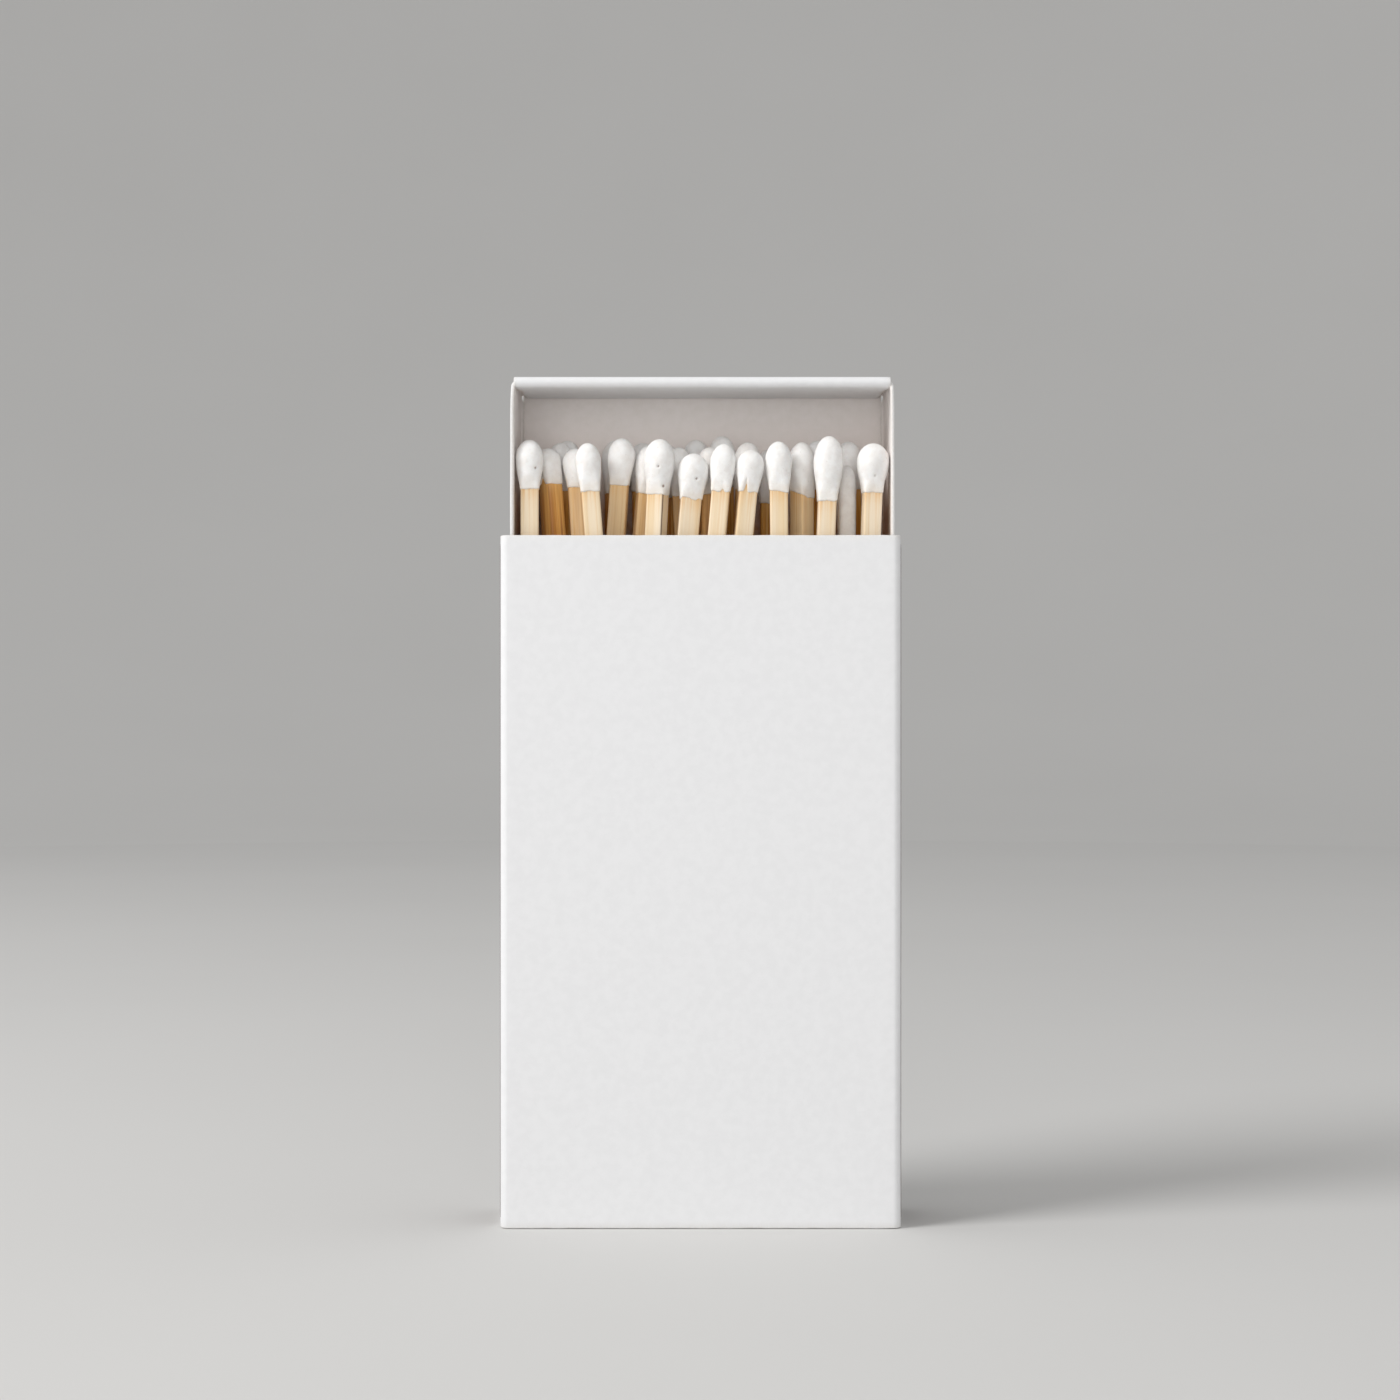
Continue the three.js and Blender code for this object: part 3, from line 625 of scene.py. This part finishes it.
def build_splint(number, stand, look):
    half = stand["half"]
    flat = half - SPLINT_CORNER
    ring = []
    for quarter in range(4):
        turn = quarter * math.pi / 2
        side = [(half, v) for v in np.linspace(-flat, flat, 6)]
        bend = [(flat + SPLINT_CORNER * math.cos(a), flat + SPLINT_CORNER * math.sin(a))
                for a in np.radians((22, 45, 68))]
        for x, y in side + bend:
            ring.append((x * math.cos(turn) - y * math.sin(turn), x * math.sin(turn) + y * math.cos(turn)))
    ring = np.array(ring)
    levels = np.concatenate([[0.0, 0.06], np.linspace(0.3, stand["splint"], 56)])
    local = []
    for i, z in enumerate(levels):
        grow = 0.9 if i == 0 else 1.0
        layer = np.column_stack([ring * grow, np.full(len(ring), z)])
        local.append(layer)
    local = np.concatenate(local)
    seed = number * 1.37
    lengthwise = local * np.array([1.0, 1.0, 0.08])
    rib = noise_at(lengthwise, 0.55, seed)
    sway = noise_at(local * np.array([0.2, 0.2, 1.0]), 9.0, seed + 5)
    shrink = 1 - (0.018 + 0.022 * rib + 0.008 * sway)
    torn = noise_at(local * np.array([1.0, 1.0, 0.0]), 0.4, seed + 9)
    shaped = local.copy()
    shaped[:, :2] *= shrink[:, None]
    shaped[:, 2] += np.where(local[:, 2] < 0.1, 0.05 + 0.06 * np.abs(torn), 0)
    mark = np.zeros(len(local))
    for angle, width, low, high in look.get("cracks", ()):
        bearing = np.degrees(np.arctan2(local[:, 1], local[:, 0]))
        gap = np.abs((bearing - angle + 180) % 360 - 180)
        z = stand["top"] - local[:, 2]
        mark += np.exp(-(gap / width) ** 2) * smooth(z, low - 0.4, low) * (1 - smooth(z, high - 1.5, high))
    grain = local + np.array([seed * 31, seed * 13, seed * 7])
    below = stand["top"] - stand["long"] - local[:, 2]
    neck = np.exp(-np.clip(below, 0, None) / 1.1)
    # The painted shade on the wood fades further below the head
    fade = 1 - 0.6 * smooth(below, 9.0, 24.0)
    mesh_piece(f"match_{number:02d}_wood", world(stand, shaped), ring_faces(len(levels), len(ring)), WOOD,
               [f"match_{number:02d}_splint"], "tray",
               {"grain": grain, "tone": np.full(len(local), look["wood"]),
                "painted_shade_amber": look["painted_shade_amber"] * fade, "neck": neck, "mark": np.clip(mark, 0, 1)}, 30)


def head_half_width(bulb, skirt, dome, share):
    if share <= dome:
        up = (dome - share) / dome
        return bulb * math.sqrt(max(0.0, 1 - up * up))
    down = (share - dome) / (1 - dome)
    eased = 0.5 + 0.5 * math.cos(math.pi * down)
    return skirt + (bulb - skirt) * (0.62 * eased + 0.38 * (1 - down ** 1.6))


def squareness(girth, half):
    corner = girth * SPLINT_REACH + HEAD_BOND + LEAST_COAT
    room = 0.5 - math.log2(corner / half)
    return min(SQUAREST, max(ROUNDEST, 1 / max(room, 1 / SQUAREST)))


def build_head(number, stand, look):
    fine = look.get("fine", False)
    sides, dome_rows, skirt_rows = (88, 22, 34) if fine else (56, 13, 20)
    bulb, long, top = stand["bulb"], stand["long"], stand["top"]
    dome = min(BULB_SHARE, DOME_REACH * 2 * bulb / long)
    girth = stand["half"] / (SPLINT_SIDE / 2)
    skirt = stand["half"] + HEAD_BOND + VISIBLE_COAT
    seed = number * 2.11 + 40
    angles = np.arange(sides) / sides * 2 * math.pi
    c, s = np.cos(angles), np.sin(angles)
    splint = stand["half"] / np.maximum(np.abs(c) ** 7 + np.abs(s) ** 7, 1e-9) ** (1 / 7)
    shares = [dome * (1 - math.cos(i / dome_rows * math.pi / 2)) for i in range(1, dome_rows + 1)]
    shares += [dome + (1 - dome) * i / skirt_rows for i in range(1, skirt_rows + 1)]

    # How far the lower edge rises round the head
    rag = look.get("ragged", 0.16)
    edge_points = np.column_stack([c * 1.2, s * 1.2, np.zeros(sides)])
    rise = rag * (0.5 + noise_at(edge_points, 0.8, seed) + 0.5 * noise_at(edge_points, 0.3, seed + 3))
    if "slant" in look:
        angle, amount = look["slant"]
        rise += amount * (0.5 + 0.5 * np.cos(angles - math.radians(angle)))
    for angle, width, amount in look.get("notches", ()):
        gap = np.abs((np.degrees(angles) - angle + 180) % 360 - 180)
        rise += amount * np.exp(-(gap / width) ** 2)
    rise = np.clip(rise, 0, long * 0.35)

    rows, grain, lower = [], [], []
    for share in shares:
        half = head_half_width(bulb, skirt, dome, share)
        power = squareness(girth, bulb if share < dome else half)
        reach = half / (np.abs(c) ** power + np.abs(s) ** power) ** (1 / power)
        z = top - share * long + rise * smooth(share, 0.55, 1.0)
        rows.append(np.column_stack([c * reach, s * reach, z]))
        lower.append(np.full(sides, smooth(share, 0.72, 1.0)))
    local = np.concatenate(rows)
    lower = np.concatenate(lower)
    lumps = 0.05 * noise_at(local, 1.8, seed + 11) + 0.018 * noise_at(local, 0.7, seed + 17)
    if fine:
        lumps += 0.012 * noise_at(local, 0.22, seed + 23)
    radius = np.hypot(local[:, 0], local[:, 1])
    least = np.tile(splint, len(shares)) + 0.035
    covered = smooth(np.repeat(shares, sides), dome * 0.8, dome)
    moved = radius * (1 - 0.006) + lumps * (1 - 0.55 * lower)
    mark = np.zeros(len(local))
    for angle, down, size, depth in look.get("pits", ()):
        bearing = np.arctan2(local[:, 1], local[:, 0])
        aside = (bearing - math.radians(angle) + math.pi) % (2 * math.pi) - math.pi
        far = np.hypot(aside * radius, top - local[:, 2] - down)
        hollow = np.exp(-(far / size) ** 2)
        moved -= depth * hollow
        mark = np.maximum(mark, np.exp(-(far / size * 1.25) ** 4) * min(1.0, depth / 0.3))
    moved = np.where(covered > 0, np.maximum(moved, least * covered), moved)
    scale = np.where(radius > 1e-6, moved / np.maximum(radius, 1e-6), 1)
    local[:, 0] *= scale
    local[:, 1] *= scale

    # The lower edge rounds in onto the splint
    last = local[-sides:]
    rim = []
    for turn, sink in ((35, 0.03), (65, 0.06), (90, 0.075)):
        t = math.sin(math.radians(turn))
        width = np.hypot(last[:, 0], last[:, 1])
        new = width + (splint * 0.985 - width) * (1 - math.cos(math.radians(turn)))
        layer = last.copy()
        layer[:, 0] *= new / width
        layer[:, 1] *= new / width
        layer[:, 2] -= sink * t
        rim.append(layer)
    inner = last.copy()
    inner[:, :2] *= (splint * 0.93 / np.hypot(last[:, 0], last[:, 1]))[:, None]
    inner[:, 2] += 0.1
    rim.append(inner)
    tip = np.array([[0, 0, top - 0.01]])
    local = np.concatenate([local] + rim + [tip])
    extra = len(rim) * sides + 1
    lower = np.concatenate([lower, np.ones(extra - 1), [0]])
    mark = np.concatenate([mark, np.zeros(extra)])
    count = len(shares) + len(rim)
    faces = [tuple(reversed(f)) for f in ring_faces(count, sides, closed_ends=False)]
    tip_index = count * sides
    faces += [(tip_index, i, (i + 1) % sides) for i in range(sides)]
    faces.append(tuple(reversed(range((count - 1) * sides, count * sides))))
    grain = local + np.array([seed * 3, seed * 5, seed * 2])
    mesh_piece(f"match_{number:02d}_paste", world(stand, local), faces, PASTE,
               [f"match_{number:02d}_head"], "tray",
               {"grain": grain, "tone": np.full(len(local), look["paste"]), "mark": mark, "lower": lower}, 50)


# What sets each match apart: how warm its wood is and how dull its head, both partly its own tone and partly
# painted shade; how much painted shade, dark and orange, lies on its wood, most on matches further back; and
# the marks that can be seen on it.
# Angles are round the match's own axis, -90 facing the open front.
LOOKS = {n: {"wood": 0.8, "painted_shade_amber": 1.0, "paste": 0.0} for n in range(1, MATCHES + 1)}
FRONT = {
    1: {"wood": 0.12, "painted_shade_amber": 0.0, "paste": 0.0, "pits": [(-62, 3.6, 0.17, 0.26)]},
    2: {"wood": 0.9, "painted_shade_amber": 0.72, "paste": 0.1, "notches": [(-90, 14, 0.9)], "ragged": 0.1},
    5: {"wood": 0.6, "painted_shade_amber": 0.25, "paste": 0.05},
    6: {"wood": 0.12, "painted_shade_amber": 0.0, "paste": 0.0},
    8: {"wood": 0.4, "painted_shade_amber": 0.1, "paste": 0.0},
    9: {"wood": 0.4, "painted_shade_amber": 0.25, "paste": 0.05},
    11: {"wood": 0.0, "painted_shade_amber": 0.0, "paste": 0.0, "pits": [(-74, 3.5, 0.16, 0.22), (-46, 5.9, 0.2, 0.3)],
         "cracks": [(-45, 4, 5.6, 14.0)]},
    12: {"wood": 0.5, "painted_shade_amber": 0.45, "paste": 0.05},
    15: {"wood": 0.0, "painted_shade_amber": 0.0, "paste": 0.0, "ragged": 0.4, "pits": [(-78, 3.1, 0.17, 0.26)]},
    16: {"wood": 0.7, "painted_shade_amber": 0.6, "paste": 0.2},
    18: {"wood": 0.1, "painted_shade_amber": 0.0, "paste": 0.0, "ragged": 0.3, "notches": [(-76, 9, 0.35)]},
    19: {"wood": 0.7, "painted_shade_amber": 0.6, "paste": 0.2},
    20: {"wood": 0.15, "painted_shade_amber": 0.0, "paste": 0.0, "ragged": 0.25, "notches": [(-108, 8, 1.1)]},
    22: {"wood": 0.12, "painted_shade_amber": 0.0, "paste": 0.0, "slant": (180, 0.5)},
    23: {"wood": 0.4, "painted_shade_amber": 0.1, "paste": 0.1, "slant": (200, 1.0)},
    25: {"wood": 0.0, "painted_shade_amber": 0.0, "paste": 0.0, "ragged": 0.2},
    27: {"wood": 0.3, "painted_shade_amber": 0.0, "paste": 0.2},
    28: {"wood": 0.0, "painted_shade_amber": 0.0, "paste": 0.0, "pits": [(-92, 4.2, 0.2, 0.12)]},
}
for n, look in FRONT.items():
    LOOKS[n] = look
    if look["paste"] < 0.2:
        look["fine"] = True


# Scene

def build_striker(name, side):
    """The striking strip on a narrow side: a thin gritty coat whose edges were not printed quite straight."""
    corners = corners_of(name)
    low, high = corners.min(0), corners.max(0)
    count = round((high[2] - low[2]) / STRIKER_STEP) + 1
    up = np.linspace(low[2], high[2], count)
    path = np.column_stack([np.full(count, (low[0] + high[0]) / 2), up])
    normals = np.tile((float(side), 0.0), (count, 1))
    station = np.column_stack([np.zeros(count), np.zeros(count), up])
    first = low[1] + STRIKER_RAG * (1 + noise_at(station, 1.3, 51 + side))
    last = high[1] - STRIKER_RAG * (1 + noise_at(station, 1.3, 61 + side))
    rows, _, ring = strip(path, normals, first, last, across=34, edge=0.05, half=(high[0] - low[0]) / 2)
    k = rows[:, 0].astype(int)
    points = np.column_stack([path[k, 0] + normals[k, 0] * rows[:, 2], rows[:, 1], up[k]])
    grit = noise_at(points, 0.5, 71 + side)
    points[:, 0] -= side * (rows[:, 2] > 0) * STRIKER_GRIT * (1 + grit)
    middle = (low[2] + high[2]) / 2
    end = np.minimum(points[:, 2] - low[2], high[2] - points[:, 2])
    inward = np.sign(middle - points[:, 2])
    wave = noise_at(np.column_stack([points[:, 1], -inward, np.zeros(len(points))]), 1.3, 81)
    points[:, 2] += inward * (1 - smooth(end, 0.0, 1.5)) * STRIKER_RAG * (1 + wave)
    faces = ring_faces(count, ring)
    if side < 0:
        faces = [tuple(reversed(f)) for f in faces]
    mesh_piece(name + "_coat", points, faces, STRIKER, [name], "sleeve")


def lathe(name, profile, sides, paint):
    """A stage piece turned about the upright axis from (radius, height) points, in metres."""
    points = [(r * math.cos(2 * math.pi * k / sides), r * math.sin(2 * math.pi * k / sides), z)
              for r, z in profile for k in range(sides)]
    faces = [tuple(reversed(f)) for f in ring_faces(len(profile), sides, closed_ends=False)]
    if profile[0][1] == profile[1][1]:
        faces.append(tuple(range(sides)))
    mesh = bpy.data.meshes.new(name)
    mesh.from_pydata(points, [], faces)
    mesh.shade_smooth()
    mesh.materials.append(paint)
    made = bpy.data.objects.new(name, mesh)
    bpy.context.scene.collection.objects.link(made)
    return made


def build_stage():
    """A pale floor that sweeps up all round into a pale wall. The sky's light passes through the wall."""
    flat = STAGE_RADIUS - STAGE_TURN
    paint = floor_paint()
    lathe("floor", [(0.15, 0.0), (0.4, 0.0), (flat, 0.0)], STAGE_SIDES, paint)
    profile = []
    for i in range(TURN_STEPS + 1):
        a = i / TURN_STEPS * math.pi / 2
        profile.append((flat + STAGE_TURN * math.sin(a), STAGE_TURN - STAGE_TURN * math.cos(a)))
    profile.append((STAGE_RADIUS, STAGE_HEIGHT))
    wall = lathe("backdrop", profile, STAGE_SIDES, paint)
    wall.visible_diffuse = False
    wall.visible_shadow = False


def build_lights():
    for name, at, towards, size, power in LAMPS:
        data = bpy.data.lights.new(name, "AREA")
        data.shape = "DISK"
        data.size = size
        data.energy = power
        made = bpy.data.objects.new(name, data)
        made.location = at
        made.rotation_euler = (Vector(towards) - Vector(at)).to_track_quat("-Z", "Y").to_euler()
        bpy.context.scene.collection.objects.link(made)
    sky = bpy.data.worlds.new("studio")
    bpy.context.scene.world = sky
    sky.use_nodes = True
    background = sky.node_tree.nodes["Background"]
    background.inputs["Color"].default_value = (1.0, 1.0, 1.0, 1)
    background.inputs["Strength"].default_value = SKY_STRENGTH


def build_camera():
    data = bpy.data.cameras.new("camera")
    data.sensor_width = SENSOR
    data.lens = LENS
    data.clip_start = 0.01
    data.clip_end = 20
    camera = bpy.data.objects.new("camera", data)
    camera.location = Vector(CAMERA_AT) * MM
    camera.rotation_euler = (math.radians(90), 0, 0)
    bpy.context.scene.collection.objects.link(camera)
    bpy.context.scene.camera = camera


build_camera()
build_stage()
build_lights()
build_striker("striker_left", -1)
build_striker("striker_right", 1)
build_sleeve()
build_tray_floor()
for side in (-1, 1):
    build_tray_side(side)
for number in range(1, MATCHES + 1):
    stand = stance(number)
    build_splint(number, stand, LOOKS[number])
    build_head(number, stand, LOOKS[number])

bpy.context.scene.view_settings.view_transform = "Standard"

bpy.context.view_layer.update()
